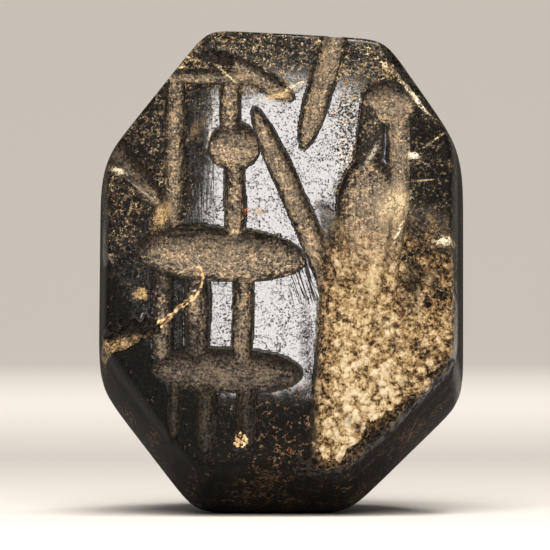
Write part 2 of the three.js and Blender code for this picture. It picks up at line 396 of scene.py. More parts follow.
def drill():
    side = HALF[0] * float(spread(HOLE_DEPTH))
    # from well outside to the middle: how far out, and the drill's radius there
    stations = [(-FACE_WIDTH, HOLE_MOUTH * 1.02), (-side - 0.15, HOLE_MOUTH * 1.02),
                (-side * 0.9, HOLE_MOUTH * 0.93), (-side * 0.5, (HOLE_MOUTH + HOLE_WAIST) / 2),
                (-0.2, HOLE_WAIST)]
    stations += [(-x, r) for x, r in reversed(stations)]
    turn = np.linspace(0, 2 * math.pi, HOLE_SIDES, endpoint=False)
    points = [(x, r * math.cos(t), r * math.sin(t) - HOLE_DEPTH) for x, r in stations for t in turn]
    faces = [[a * HOLE_SIDES + i, a * HOLE_SIDES + (i + 1) % HOLE_SIDES,
              (a + 1) * HOLE_SIDES + (i + 1) % HOLE_SIDES, (a + 1) * HOLE_SIDES + i]
             for a in range(len(stations) - 1) for i in range(HOLE_SIDES)]
    last = (len(stations) - 1) * HOLE_SIDES
    faces += [list(range(HOLE_SIDES))[::-1], [last + i for i in range(HOLE_SIDES)]]
    return new_mesh("drill", np.array(points) * MM, faces)


def outward(piece):
    shape = bmesh.new()
    shape.from_mesh(piece.data)
    bmesh.ops.recalc_face_normals(shape, faces=shape.faces)
    shape.to_mesh(piece.data)
    shape.free()


def finished(piece, name):
    """The piece with its modifiers made real, as a plain mesh."""
    bpy.context.view_layer.update()
    made = bpy.data.meshes.new_from_object(piece.evaluated_get(bpy.context.evaluated_depsgraph_get()))
    piece.modifiers.clear()
    piece.data = made
    made.name = name
    return piece


drill_bit = drill()
outward(drill_bit)
outward(seal)
bore = seal.modifiers.new("cord hole", "BOOLEAN")
bore.operation, bore.solver, bore.object = "DIFFERENCE", "EXACT", drill_bit
finished(seal, "seal_body")
bpy.data.objects.remove(drill_bit)
print("drilled, now", len(seal.data.vertices), "points")

# %% [markdown]
# ## The engraving
#
# Every line of the picture is one stroke of a small wheel or a ball drill: it has a start and an
# end, a width, a depth, and tips that are long where a wheel ran out and round where a ball
# stopped. The altar, with a disc on a rod above it, is on the left, and the robed figure with one
# arm raised is on the right. Each stroke could be cut by a Boolean of its own, but a table is
# easier to read and to correct, and one node tree can cut them all at once. Starts and ends are
# shares of the face's half width and half height, widths and depths are in millimetres, tips are
# shares of the stroke's length, and the last number says how much pale dust the stroke holds.

# %% The strokes
BALL = "ball"
STROKES = {
    "left post": ((-0.625, 0.79), (-0.625, 0.05), 0.9, 0.48, (BALL, 0.2), 0.55),
    "top bar": ((-0.68, 0.8), (-0.125, 0.79), 0.74, 0.34, (BALL, 0.2), 0.6),
    "top slant": ((-0.32, 0.885), (0.075, 0.67), 0.85, 0.28, (0.35, 0.3), 0.5),
    "side ray": ((-1.01, 0.48), (-0.7, 0.155), 1.0, 0.5, (BALL, 0.35), 0.6),
    "rod above": ((-0.3, 0.79), (-0.295, 0.515), 0.87, 0.42, (BALL, BALL), 0.6),
    "rod below": ((-0.265, 0.37), (-0.26, -0.02), 0.87, 0.42, (BALL, BALL), 0.5),
    "altar table": ((-0.84, -0.05), (0.16, -0.115), 2.45, 0.64, (0.4, 0.5), 0.85),
    "altar leg left": ((-0.69, -0.155), (-0.69, -0.565), 0.78, 0.3, (BALL, BALL), 0.35),
    "altar leg middle": ((-0.485, -0.155), (-0.48, -0.565), 1.05, 0.34, (BALL, BALL), 0.35),
    "altar leg right": ((-0.205, -0.155), (-0.22, -0.595), 0.87, 0.42, (BALL, BALL), 0.45),
    "altar base": ((-0.75, -0.6), (0.135, -0.64), 1.85, 0.52, (0.4, 0.4), 0.5),
    "foot left": ((-0.615, -0.635), (-0.615, -0.905), 0.6, 0.32, (BALL, 0.4), 0.25),
    "foot middle": ((-0.43, -0.675), (-0.425, -0.965), 0.87, 0.4, (BALL, 0.3), 0.3),
    "foot right": ((-0.19, -0.655), (-0.185, -0.955), 0.8, 0.4, (BALL, 0.3), 0.35),
    "raised arm": ((-0.16, 0.63), (0.33, -0.255), 0.98, 0.48, (0.4, BALL), 0.95),
    "upper ray": ((0.335, 1.025), (0.14, 0.42), 1.1, 0.46, (0.1, 0.45), 0.8),
    "neck": ((0.57, 0.7), (0.52, 0.33), 1.2, 0.4, (BALL, BALL), 0.12),
    "back hair": ((0.7, 0.645), (0.71, 0.105), 0.92, 0.44, (BALL, 0.15), 0.9),
    "shoulder": ((0.535, 0.39), (0.515, -0.245), 2.75, 0.66, (0.42, 0.42), 0.7),
    "sash": ((0.72, 0.205), (0.625, -0.285), 0.9, 0.68, (0.3, 0.3), 0.5),
}
PLEATS, PLEAT_WIDTH, PLEAT_DEPTH, PLEAT_TIP = 5, 1.4, 0.5, 0.1
ROBE_TOP, ROBE_HEM = -0.175, (-1.02, -0.72)
ROBE_FRONT, ROBE_BACK = (0.352, 0.268), (0.71, 0.82)
PLEAT_DUST = 0.9
for pleat in range(PLEATS):
    share = pleat / (PLEATS - 1)
    start = (ROBE_FRONT[0] + (ROBE_BACK[0] - ROBE_FRONT[0]) * share, ROBE_TOP)
    end = (ROBE_FRONT[1] + (ROBE_BACK[1] - ROBE_FRONT[1]) * share,
           ROBE_HEM[0] + (ROBE_HEM[1] - ROBE_HEM[0]) * share)
    STROKES[f"pleat {pleat + 1}"] = (
        start, end, PLEAT_WIDTH, PLEAT_DEPTH, (PLEAT_TIP, PLEAT_TIP), PLEAT_DUST)
DISCS = {"disc": ((-0.272, 0.435), 2.25, 0.6, 1.0), "head": ((0.645, 0.66), 2.3, 0.5, 0.8),
         "crystal pit": ((-0.225, -0.925), 0.8, 0.3, 0.2)}
for name, (place, width, depth, dust) in DISCS.items():
    reach = width / 2 / HALF[0]
    start, end = (place[0] - reach, place[1]), (place[0] + reach, place[1])
    STROKES[name] = (start, end, width, depth, (BALL, BALL), dust)
print(len(STROKES), "strokes")

# %% [markdown]
# The rim is broken in a few places: one deep notch at the left, flakes at the top left and the
# upper right, and a run of breaks along the lower right edge. They could be sculpted, but a break
# is a short deep hollow, so they are written like the strokes. What makes them look broken is the
# strong unevenness that the carving tree gives to their places.

# %% The breaks
BREAKS = {
    "side notch": ((-1.13, -0.47), (-0.68, -0.395), 1.15, 0.95, (0.3, 0.7)),
    "top left flake": ((-0.5, 0.92), (-0.27, 0.875), 0.8, 0.34, (0.5, 0.3)),
    "right upper flake": ((0.62, 0.97), (0.95, 0.6), 0.7, 0.4, (0.4, 0.4)),
    "lower edge break": ((0.34, -1.09), (0.91, -0.685), 1.3, 0.55, (0.35, 0.3)),
    "lower edge crevice": ((0.505, -0.86), (0.76, -0.82), 0.5, 0.6, (0.5, 0.4)),
    "side edge break": ((0.84, -0.78), (1.04, -0.52), 0.75, 0.45, (0.4, 0.4)),
    "bottom edge break": ((0.08, -1.025), (0.37, -1.045), 0.7, 0.5, (0.5, 0.5)),
}
print(len(BREAKS), "breaks")


# %% [markdown]
# ## A stroke as a node group
#
# One group holds the rule of a stroke, and the carving tree uses it once for each line. At any
# place on the face it works out how far along the stroke and how far beside it that place is,
# and gives the depth of the round-bottomed cut there, or nothing outside it. The same nodes could
# be laid out again for each stroke, but a group is built once and keeps the tree small.


# %% The stroke group
def group_sockets(tree, ins, outs):
    for name, kind in ins.items():
        tree.interface.new_socket(name, in_out="INPUT", socket_type=kind)
    for name, kind in outs.items():
        tree.interface.new_socket(name, in_out="OUTPUT", socket_type=kind)


WALL_POWER = 0.75  # 0.5 is a ball's round wall, 1 the gentler wall of a wheel's rim
LIGHT_FROM_UPPER_RIGHT = (0.45, 0.89)  # painted shade: where the light comes from; groove walls on this side face away from it and get less pale dust, so they are darker


def inputs_of(bench):
    given = bench.node("NodeGroupInput", out=None)
    return {s.name: Wire(bench, s) for s in given.outputs if s.name}


def stroke_group():
    tree = bpy.data.node_groups.new("Wheel stroke", "GeometryNodeTree")
    group_sockets(tree, {"Place": "NodeSocketVector", "From": "NodeSocketVector", "To": "NodeSocketVector",
                         "Width": "NodeSocketFloat", "Depth": "NodeSocketFloat",
                         "First tip": "NodeSocketFloat", "Last tip": "NodeSocketFloat",
                         "Dust": "NodeSocketFloat"},
                  {"Cut": "NodeSocketFloat", "Lane": "NodeSocketVector", "Shaded": "NodeSocketFloat"})
    bench = Bench(tree)
    asked = inputs_of(bench)
    run = bench.vector("SUBTRACT", asked["To"], asked["From"])
    length = bench.vector("LENGTH", run, (0, 0, 0), out="Value")
    heading = bench.vector("NORMALIZE", run, (0, 0, 0))
    offset = bench.vector("SUBTRACT", asked["Place"], asked["From"])
    along = bench.vector("DOT_PRODUCT", offset, heading, out="Value")
    beside = bench.split(bench.vector("CROSS_PRODUCT", heading, offset))[2]
    opening = 1 - (along / asked["First tip"]).clip()
    closing = 1 - ((length - along) / asked["Last tip"]).clip()
    full = (1 - opening * opening).root() * (1 - closing * closing).root()
    across = beside / (asked["Width"] * 0.5 * full).math("MAXIMUM", 1e-5)
    hollow = (1 - across * across).math("MAXIMUM", 0.0)
    end = bench.node("NodeGroupOutput", out=None)
    tree.links.new((asked["Depth"] * full * hollow ** WALL_POWER).socket, end.inputs["Cut"])
    tree.links.new(bench.join(along, beside, hollow * full * asked["Dust"]).socket, end.inputs["Lane"])
    hx, hy, _ = bench.split(heading)
    # painted shade: how far a place lies towards the groove wall that faces away from the light
    tree.links.new((across * (hx * LIGHT_FROM_UPPER_RIGHT[1] - hy * LIGHT_FROM_UPPER_RIGHT[0])).socket, end.inputs["Shaded"])
    return tree


wheel_stroke = stroke_group()
print("stroke group has", len(wheel_stroke.nodes), "nodes")

# %% [markdown]
# ## The deepest stroke at each place
#
# Where two strokes cross, the deeper one has taken the stone away, so at each point the cuts are
# compared one after the other and the deepest is kept. The lane of that stroke is kept with it,
# because the marks of the wheel and the dust follow the stroke, not the face.


# %% Taking the deepest
def on_face(place):
    return (place[0] * HALF[0], place[1] * HALF[1], 0.0)


def deepest(bench, place, strokes):
    """The deepest cut at each place, and that stroke's lane: along, beside, nearness to its middle."""
    total, lane, shaded = 0.0, (0.0, 0.0, 0.0), 0.0
    for name, (start, end, width, depth, tips, *dust) in strokes.items():
        a, b = Vector(on_face(start)), Vector(on_face(end))
        length = (b - a).length
        tip = [min(width / 2, length / 2) if t == BALL else t * length for t in tips]
        made = bench.node(
            "GeometryNodeGroup", {"node_tree": wheel_stroke, "label": name},
            {"Place": place, "From": a, "To": b, "Width": width, "Depth": depth, "First tip": tip[0],
             "Last tip": tip[1], "Dust": dust[0] if dust else 0.0}, out=None)
        cut, own_lane, own_shade = (Wire(bench, made.outputs[n]) for n in ("Cut", "Lane", "Shaded"))
        deeper = bench.node("FunctionNodeCompare", {"operation": "GREATER_THAN"}, {"A": cut, "B": total})
        lane = bench.node("GeometryNodeSwitch", {"input_type": "VECTOR"},
                          {"Switch": deeper, "False": lane, "True": own_lane})
        shaded = bench.node("GeometryNodeSwitch", {"input_type": "FLOAT"},
                            {"Switch": deeper, "False": shaded, "True": own_shade})
        total = cut.math("MAXIMUM", total)
    return total, lane, shaded


print("the deepest of", len(STROKES), "strokes and", len(BREAKS), "breaks can be taken")

# %% [markdown]
# ## The golden part and its crumbs
#
# In the lower right the stone turns golden and coarse, like packed crumbs of amber. The border and
# the crumbs are needed twice, by the carving, which lowers the gaps between the crumbs, and by the
# colours. So they are written once, from nodes that both kinds of tree have. Cells alone would look
# like a giraffe's coat, so the place is pushed about by a noise before the cells are drawn. The
# noise gets a short helper here, and so does storing an attribute, because both are used often.


# %% The golden zone and the crumbs
CRUMBS_PER_MM = 2.5


def stored(bench, geometry, name, value, kind="FLOAT"):
    return bench.node("GeometryNodeStoreNamedAttribute", {"data_type": kind, "domain": "POINT"},
                      {"Geometry": geometry, "Name": name, "Value": value})


def noise(bench, place, scale, detail=2.0, roughness=0.5, out="Fac"):
    return bench.node("ShaderNodeTexNoise", {"noise_dimensions": "3D"},
                      {"Vector": place, "Scale": scale, "Detail": detail, "Roughness": roughness}, out)


def golden_zone(u, v, drift):
    """1 in the lower right of the face, where the stone is golden, with a wandering border."""
    across = (u + drift * 1.2 + (v + 3.0).math("ABSOLUTE") * 0.02).step(1.55, 2.0)
    return across * (-v + drift * 5.0).step(-1.8, 2.4)


def shaken_place(bench, place):
    """The place pushed about a little, so that the crumbs are no regular cells."""
    push = bench.vector("MULTIPLY", noise(bench, place, 3.0, 3.0, out="Color"), (0.35, 0.35, 0.35))
    return bench.vector("ADD", place, push)


def crumbs(bench, place):
    """Near 1 in the middle of each crumb of the golden stone, and 0 between crumbs."""
    return 1 - bench.node("ShaderNodeTexVoronoi", {"feature": "F1"}, {
        "Vector": shaken_place(bench, place), "Scale": CRUMBS_PER_MM}, "Distance").step(0.1, 0.75)


print("crumbs", CRUMBS_PER_MM, "to the millimetre")

# %% [markdown]
# ## What fills the vein and the pit
#
# A thin golden vein runs across the stone, and small crystals sit in the round pit low on the face.
# Both stand a little proud, so they are mesh and not only colour. The vein is a bead with a
# lumpy radius, swept along a path. The crystals are small grains scattered over a disc, each turned
# and sized at random from a fixed seed. Path and grains hang just above the face and are let down
# onto the carved stone by a ray, which saves working out the height of the floor there.


# %% Beads and grains let down onto the stone
RAY_LIFT, RAY_REACH = 2 * MM, 6 * MM
BEAD_POINTS, BEAD_SIDES = 110, 8
THINNEST_BEAD = 0.25


def let_down(bench, place, stone_skin):
    """Where each place meets the stone when it is let down onto the face."""
    lifted = bench.vector("ADD", place, (0, 0, RAY_LIFT))
    return bench.node("GeometryNodeRaycast", {}, {
        "Target Geometry": stone_skin, "Source Position": lifted, "Ray Direction": (0, 0, -1),
        "Ray Length": RAY_REACH}, out="Hit Position")


def vein_fill(bench, asked, stone_skin):
    """A lumpy bead laid along the vein's path, let down onto the carved stone."""
    path = bench.node("GeometryNodeObjectInfo", {}, {"Object": asked["Vein path"]}, out="Geometry")
    line = bench.node("GeometryNodeMeshToCurve", {}, {"Mesh": path})
    line = bench.node("GeometryNodeResampleCurve", {}, {"Curve": line, "Count": BEAD_POINTS})
    here = bench.node("GeometryNodeInputPosition")
    landed = let_down(bench, here, stone_skin)
    line = bench.node("GeometryNodeSetPosition", {}, {"Geometry": line, "Position": landed})
    lump = noise(bench, here, 3200.0, 4.0, 0.7).step(0.3, 0.75) + THINNEST_BEAD
    line = bench.node("GeometryNodeSetCurveRadius", {}, {
        "Curve": line, "Radius": asked["Vein radius"] * lump * MM})
    section = bench.node("GeometryNodeCurvePrimitiveCircle", {"mode": "RADIUS"}, {
        "Resolution": BEAD_SIDES, "Radius": 1.0})
    bead = bench.node("GeometryNodeCurveToMesh", {}, {
        "Curve": line, "Profile Curve": section, "Scale": bench.node("GeometryNodeInputRadius"),
        "Fill Caps": True})
    return bench.node("GeometryNodeSetMaterial", {}, {
        "Geometry": bead, "Material": bpy.data.materials["Golden fill"]})


PIT_PLACE, PIT_RADIUS = DISCS["crystal pit"][0], 0.31
GRAIN_SIZES, GRAIN_SIZE_SEED, GRAIN_STRETCH = (0.45, 1.3), 5, 1.5
FULL_TURN = 6.3


def pit_crystals(bench, asked, stone_skin):
    """Small crystals scattered over the floor of the round pit low on the face."""
    disc = bench.node("GeometryNodeMeshCircle", {"fill_type": "NGON"}, {
        "Vertices": 24, "Radius": PIT_RADIUS * MM})
    disc = bench.node("GeometryNodeTransform", {}, {
        "Geometry": disc, "Translation": tuple(Vector(on_face(PIT_PLACE)) * MM)})
    spots = bench.node("GeometryNodeDistributePointsOnFaces", {"distribute_method": "RANDOM"}, {
        "Mesh": disc, "Density": asked["Crystal count"] / (math.pi * (PIT_RADIUS * MM) ** 2),
        "Seed": asked["Seed"]})
    landed = let_down(bench, bench.node("GeometryNodeInputPosition"), stone_skin)
    spots = bench.node("GeometryNodeSetPosition", {}, {"Geometry": spots, "Position": landed})
    turn = bench.node("FunctionNodeRandomValue", {"data_type": "FLOAT_VECTOR"},
                      {"Min": (0, 0, 0), "Max": (FULL_TURN,) * 3, "Seed": asked["Seed"]}, out=0)
    grow = bench.node("FunctionNodeRandomValue", {"data_type": "FLOAT"}, {
        "Min": GRAIN_SIZES[0], "Max": GRAIN_SIZES[1], "Seed": GRAIN_SIZE_SEED}, out=1)
    grain = bench.node("GeometryNodeMeshIcoSphere", {}, {"Radius": 1.0, "Subdivisions": 1})
    grown = bench.node("GeometryNodeInstanceOnPoints", {}, {
        "Points": spots, "Instance": grain, "Rotation": turn,
        "Scale": bench.join(grow, grow, grow * GRAIN_STRETCH)})
    sized = bench.node("GeometryNodeScaleInstances", {}, {
        "Instances": grown, "Scale": bench.join(*(asked["Crystal size"] * MM,) * 3)})
    return bench.node("GeometryNodeSetMaterial", {}, {
        "Geometry": bench.node("GeometryNodeRealizeInstances", {}, [sized]),
        "Material": bpy.data.materials["Golden fill"]})


print("bead of", BEAD_POINTS, "points, grains from", GRAIN_SIZES[0], "to", GRAIN_SIZES[1], "of their size")

# %% [markdown]
# ## Carving the face
#
# The tree lets each point of the face down to the depth of its deepest stroke below the dome.
# Points of the sides close to the rim come down with it, so a stroke that runs off the face also
# opens the edge. The stone is uneven in more than one way: the wheel never ran quite true, the
# floors are scored along the stroke, the broken surfaces are rough, and the gaps between the golden
# crumbs are lower. Sculpting could do this once, but a tree can be corrected stroke by stroke. What
# was cut, and how deep, is kept as attributes of the mesh for the finish.


# %% The carving tree
RIDGE_WIDTH = 0.055
ON_THE_FACE, AT_THE_RIM = (-2.6, -2.2), (-3.6, -3.0)  # w from which these start and are full
BREAK_JAG, BREAK_ROUGHNESS, DOME_WEAR = 1.1, 0.3, 0.02
SMOOTHING_ROUNDS = 4


def ridge_of(bench, u, v):
    """Near 1 on the long edges between two sides of the body, and 0 on the flats."""
    first, second = 0.0, 0.0
    for (across, along), reach in zip(SIDE_NORMALS.tolist(), SIDE_REACH.tolist()):
        toward = u * (across / reach) + v * (along / reach)
        second = toward.math("MINIMUM", first).math("MAXIMUM", second)
        first = toward.math("MAXIMUM", first)
    return ((first - second) / first).step(RIDGE_WIDTH, 0.0)


def carving_tree():
    tree = bpy.data.node_groups.new("Engraving", "GeometryNodeTree")
    group_sockets(tree, {"Geometry": "NodeSocketGeometry", "Crown radius": "NodeSocketFloat",
                         "Wander": "NodeSocketFloat", "Roughness": "NodeSocketFloat",
                         "Crumb depth": "NodeSocketFloat",
                         "Vein path": "NodeSocketObject", "Vein radius": "NodeSocketFloat",
                         "Crystal size": "NodeSocketFloat", "Crystal count": "NodeSocketFloat",
                         "Seed": "NodeSocketInt"},
                  {"Geometry": "NodeSocketGeometry"})
    bench = Bench(tree)
    asked = inputs_of(bench)
    in_mm = bench.vector("MULTIPLY", bench.node("GeometryNodeInputPosition"), (1 / MM,) * 3)
    u, v, w = bench.split(in_mm)
    flat = bench.join(u, v, 0.0)
    drift = bench.vector("SUBTRACT", noise(bench, flat, 1.1, 5.0, 0.6, out="Color"), (0.5, 0.5, 0.5))
    dx, dy, _ = bench.split(drift)
    wandered = bench.join(u + dx * asked["Wander"], v + dy * asked["Wander"], 0.0)
    cut, lane, shaded = deepest(bench, wandered, STROKES)
    jag = bench.vector("SUBTRACT", noise(bench, in_mm, 1.6, 5.0, 0.6, out="Color"), (0.5, 0.5, 0.5))
    jx, jy, _ = bench.split(jag)
    broken = deepest(bench, bench.join(u + jx * BREAK_JAG, v + jy * BREAK_JAG, 0.0), BREAKS)[0]
    crumb = (noise(bench, in_mm, 4.0, 4.0, 0.6) - 0.5) * BREAK_ROUGHNESS * broken.step(0.0, 0.12)
    along, beside, middle = bench.split(lane)
    scored = noise(bench, bench.join(along * 0.7, beside * 7.0, middle), 1.0, 3.0, 0.6) - 0.5
    grain = (noise(bench, in_mm, 7.0, 4.0, 0.6) - 0.5 + scored) * asked["Roughness"]
    worn = (noise(bench, in_mm, 0.5, 2.0) - 0.5) * DOME_WEAR
    surface = bench.join(u, v, -(u * u + v * v) / (asked["Crown radius"] * 2) - cut)
    gold = golden_zone(u, v, noise(bench, surface, 0.55, 4.0, 0.62) - 0.5)
    crumbled = (1 - crumbs(bench, surface)) * gold * asked["Crumb depth"]
    depth = cut.math("MAXIMUM", broken + crumb)
    dome = -(u * u + v * v) / (asked["Crown radius"] * 2)
    front = w.step(*ON_THE_FACE)
    floor = dome - depth - front * (grain * cut.step(0.0, 0.15) + worn.math("ABSOLUTE") + crumbled)
    down = w.math("MINIMUM", floor)
    kept = stored(bench, asked["Geometry"], "cut", cut * w.step(*AT_THE_RIM))
    kept = stored(bench, kept, "broken", broken * w.step(*AT_THE_RIM))
    near = bench.node("GeometryNodeBlurAttribute", {"data_type": "FLOAT"}, {
        "Value": cut, "Iterations": SMOOTHING_ROUNDS})
    kept = stored(bench, kept, "near", near * w.step(*AT_THE_RIM))
    kept = stored(bench, kept, "lane", lane, "FLOAT_VECTOR")
    # painted shade: which walls of the grooves face away from the light, read by the finish
    kept = stored(bench, kept, "shaded", shaded)
    kept = stored(bench, kept, "ridge", ridge_of(bench, u, v))
    moved = bench.node("GeometryNodeSetPosition", {}, {
        "Geometry": kept, "Position": bench.vector("MULTIPLY", bench.join(u, v, down), (MM,) * 3)})
    stone_skin = bench.node("GeometryNodeSetMaterial", {}, {
        "Geometry": moved, "Material": bpy.data.materials["Mottled seal stone"]})
    fill = vein_fill(bench, asked, moved)
    crystals = pit_crystals(bench, asked, moved)
    together = bench.node("GeometryNodeJoinGeometry", out=None)
    for part in (crystals, fill, stone_skin):
        tree.links.new(part.socket, together.inputs[0])
    placed = bench.node("GeometryNodeTransform", {}, {
        "Geometry": Wire(bench, together.outputs[0]), "Translation": tuple(crown * MM),
        "Rotation": (LEAN, 0, 0)})
    end = bench.node("NodeGroupOutput", out=None)
    tree.links.new(bench.node("GeometryNodeRealizeInstances", {}, [placed]).socket, end.inputs["Geometry"])
    return tree


print("carving tree ready to build")

# %% [markdown]
# ## The vein
#
# A thin golden vein runs from the notch, up round to the altar table, with a shorter one beside it.
# It could be painted, but it stands a little proud of the stone. So its path is drawn here as a
# line of points on the dome, with a small wobble, and the carving tree lays a bead along it.

# %% The path of the vein
STEPS_BETWEEN = 8
VEIN = [(-0.735, -0.395), (-0.69, -0.375), (-0.62, -0.35), (-0.55, -0.315), (-0.49, -0.27), (-0.458, -0.225),
        (-0.448, -0.185), (-0.46, -0.14), (-0.478, -0.11)]
SIDE_VEIN = [(-0.7, -0.41), (-0.64, -0.375), (-0.6, -0.325), (-0.55, -0.3), (-0.5, -0.262)]


def vein_path():
    fine, links = [], []
    for number, turns in enumerate((VEIN, SIDE_VEIN)):
        first = len(fine)
        for (a, b), (c, d) in zip(turns, turns[1:]):
            for step in np.linspace(0, 1, STEPS_BETWEEN, endpoint=False):
                u, v = on_face((a + (c - a) * step, b + (d - b) * step))[:2]
                wobble = 0.05 * math.sin(9 * u + 7 * v + number) + 0.05 * math.sin(31 * u + 2 * number)
                fine.append((u + wobble * 0.6, v + wobble, -fall(u, v)))
        links += [(i, i + 1) for i in range(first, len(fine) - 1)]
    mesh = bpy.data.meshes.new("vein path")
    mesh.from_pydata([tuple(np.array(p) * MM) for p in fine], links, [])
    path = bpy.data.objects.new("vein path", mesh)
    bpy.context.scene.collection.objects.link(path)
    return path


vein = vein_path()
print("vein has", len(vein.data.vertices), "points")

# %% [markdown]
# ## The colours of the stone
#
# The stone is nearly black and takes a high polish, with tan and brown grains scattered through
# it. The strokes are dull and hold pale dust, and the lower right is golden. Each finish below
# blends a few of the same colours, so they are named here once. A small function turns screen
# colours, which are easy to judge by eye, into the linear ones that the nodes use.


# %% Colours
def tone(red, green, blue):
    """A screen colour from 0 to 255 as the linear colour that nodes use."""
    share = np.array([red, green, blue]) / 255
    linear = np.where(share <= 0.04045, share / 12.92, ((share + 0.055) / 1.055) ** 2.4)
    return (*linear.tolist(), 1.0)


BLACK, SOOT, UMBER = tone(6, 6, 5), tone(20, 18, 15), tone(66, 53, 40)
TAN, CREAM, STRAW = tone(142, 117, 86), tone(212, 190, 152), tone(220, 196, 154)
GROOVE, DUST = tone(52, 46, 39), tone(114, 101, 86)
HONEY, AMBER, ROOT = tone(184, 153, 108), tone(140, 109, 70), tone(70, 54, 38)
ORANGE, GREEN, ASH = tone(176, 104, 58), tone(70, 84, 58), tone(178, 168, 148)
RUST, PALE = tone(112, 66, 38), tone(240, 222, 190)
print("the black of the stone is", [round(part, 4) for part in BLACK[:3]])

# %% [markdown]
# Besides the scattered grains, the real stone has marks that everyone would know it by: three
# coloured specks by the altar, chips along the rim, pale cracks and stains. Other marks are painted
# light and shade: white glints on the rim and edges, pale highlight lines along the edges of some
# strokes, and two dark bands of painted shade. Each is a soft oval at its own place, broken up by
# noise so that it doesn't look painted on. A row gives the place [u, v], half the size across and
# up, the tilt in degrees, the colour and the strength. The list can't grow for ever: about forty are
# more than the renderer's shader can hold, and then the whole stone turns black.

# %% Single marks
THIN_MARK = 0.14  # marks thinner than this on either side of their middle are cracks or painted highlight lines
MARKS = [
    # stains and bright patches; the two black ones in the last row are painted shade
    ((5.04, 1.64), (0.55, 0.8), -20, STRAW, 0.6), ((4.1, -1.7), (0.24, 0.95), -6, STRAW, 0.85),
    ((-3.52, 5.17), (0.24, 0.7), -30, TAN, 0.7), ((-5.1, 1.1), (0.3, 0.6), -15, HONEY, 0.75),
    ((-6.0, -2.46), (0.28, 0.24), 10, HONEY, 0.85), ((5.78, -2.07), (0.6, 1.25), -8, SOOT, 0.75),
    # painted shade: dark bands by the robe low down and left of the shoulder, which also dull the polish
    ((1.25, -4.9), (0.3, 1.8), 4, BLACK, 0.85), ((2.6, 2.2), (0.3, 1.5), -22, BLACK, 0.8),
    # coloured specks and small pale grains, and in the last row painted glints
    ((-1.42, 1.12), (0.17, 0.13), 0, ORANGE, 0.9), ((-1.13, 1.14), (0.13, 0.13), 0, GREEN, 0.9),
    ((-0.86, 1.06), (0.2, 0.14), 0, TAN, 0.9), ((5.78, 3.87), (0.3, 0.15), 0, PALE, 1.0),
    # painted glints: white sparkle at the right rim and at the upper left edge
    ((7.2, 0.0), (0.36, 0.22), 10, PALE, 0.9), ((-7.05, 3.25), (0.3, 0.2), -30, PALE, 0.9),
    # branching vein at the top of the window
    ((0.5, 7.0), (0.7, 0.1), 25, STRAW, 0.9), ((-0.1, 6.6), (0.5, 0.15), 14, HONEY, 0.9),
    # painted glints on the chipped rim at the upper right
    ((5.85, 6.75), (1.15, 0.12), -54, PALE, 1.0),
    # hair cracks filled with pale dust in the first three, then painted highlights: lines on the edges of
    # the hair, the shoulder ridge, the disc and the side ray, and a glint on the neck
    ((6.74, 4.65), (0.65, 0.05), 41, STRAW, 0.8), ((6.3, 2.72), (0.55, 0.04), 9, CREAM, 0.45),
    # painted highlights from the second mark of this row to the end of the list
    ((-2.4, 7.75), (0.8, 0.07), -43, CREAM, 0.8), ((5.62, 4.0), (0.06, 1.5), 0, ASH, 0.75),
    ((5.25, 0.6), (0.08, 0.9), -24, PALE, 0.85), ((4.0, 3.9), (0.12, 0.8), -28, ASH, 0.65),
    ((-2.98, 5.1), (0.06, 1.2), -12, ASH, 0.8), ((-6.1, 2.4), (1.1, 0.05), -39, ASH, 0.5),
]
print(len(MARKS), "marks,", sum(min(row[1]) < THIN_MARK for row in MARKS), "of them thin")

# %% [markdown]
# ## The golden fill
#
# The vein and the crystals are the same golden stone, clean and hardly polished. They are too
# small to need more than a grainy colour, from a noise run through a ramp. The ramp's ends are dark
# and pale, so that the single grains stand apart.


# %% Golden fill material
def fill_material():
    material = bpy.data.materials.new("Golden fill")
    material.use_nodes = True
    material.node_tree.nodes.clear()
    bench = Bench(material.node_tree)
    place = bench.node("ShaderNodeTexCoord", out="Object")
    grain = noise(bench, place, 5200.0, 3.0, 0.6)
    colour = bench.node("ShaderNodeValToRGB", {
        "stops": [(0.38, ROOT), (0.47, AMBER), (0.57, HONEY), (0.68, STRAW)]}, {"Fac": grain})
    shader = bench.node("ShaderNodeBsdfPrincipled", {}, {"Base Color": colour, "Roughness": 0.4})
    bench.node("ShaderNodeOutputMaterial", {}, {"Surface": shader}, out=None)
    return material


fill = fill_material()
print("golden fill has", len(fill.node_tree.nodes), "nodes")

# %% [markdown]
# ## The stone's finish: where it is and what it reads
#
# The same stone looks different in each place, so its finish has to know where it is. A hand-painted
# picture could do that, but sums in the seal's own axes stay sharp at any distance and need no
# map. A Mapping node turns Object coordinates into u, v and w in millimetres, and the attributes
# that the carving tree stores say how deep each place was cut. A few noises from coarse to fine are
# made once and used all through.

# %% Places, noises and helpers
SHIFT = -np.array(Matrix.Rotation(-LEAN, 3, "X")) @ crown
stone = bpy.data.materials.new("Mottled seal stone")
stone.use_nodes = True
stone.node_tree.nodes.clear()
bench = Bench(stone.node_tree)


def blend(factor, a, b):
    return bench.node("ShaderNodeMix", {"data_type": "RGBA"},
                      {"Factor_Float": factor, "A_Color": a, "B_Color": b}, "Result_Color")


def read(name, out="Fac"):
    return bench.node("ShaderNodeAttribute", {"attribute_name": name}, out=out)


def shade_of_cells(place, scale):
    """A random number from 0 to 1 for each cell."""
    cells = bench.node("ShaderNodeTexVoronoi", {"feature": "F1"}, {"Vector": place, "Scale": scale}, "Color")
    return bench.node("ShaderNodeSeparateColor", {}, [cells])


def threads(place, scale, width, detail=4.0):
    """Thin wandering lines: where a cloud passes through its middle value."""
    return 1 - (noise(bench, place, scale, detail, 0.6) - 0.5).math("ABSOLUTE").step(0.0, width)


